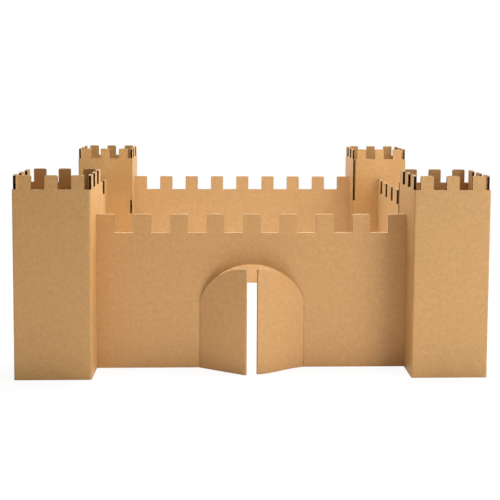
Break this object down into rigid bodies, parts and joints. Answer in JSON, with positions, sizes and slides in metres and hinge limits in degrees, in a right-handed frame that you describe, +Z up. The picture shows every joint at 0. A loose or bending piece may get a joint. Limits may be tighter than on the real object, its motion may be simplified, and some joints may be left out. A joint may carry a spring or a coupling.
{
  "type": "cardboard castle",
  "caption": "Play castle of folded corrugated board: crenellated walls hooked between square corner towers, with an arched gate whose leaves stand open.",
  "frame": {"origin": "on the floor, under the middle of the courtyard and of the outline in plan", "axes": "+Z up, -Y towards the viewer, where the gate opens, +X to the viewer's right"},
  "size_m": [0.666, 0.666, 0.287],
  "materials": {
    "tower_board": "uncoated brown kraft corrugated board",
    "wall_board": "uncoated brown kraft corrugated board"
  },
  "bodies": {
    "root": {"tower_front_left": "tower_board", "tower_front_right": "tower_board", "tower_back_left": "tower_board", "tower_back_right": "tower_board", "front_wall": "wall_board", "back_wall": "wall_board", "left_wall": "wall_board", "right_wall": "wall_board"}
  },
  "joints": []
}
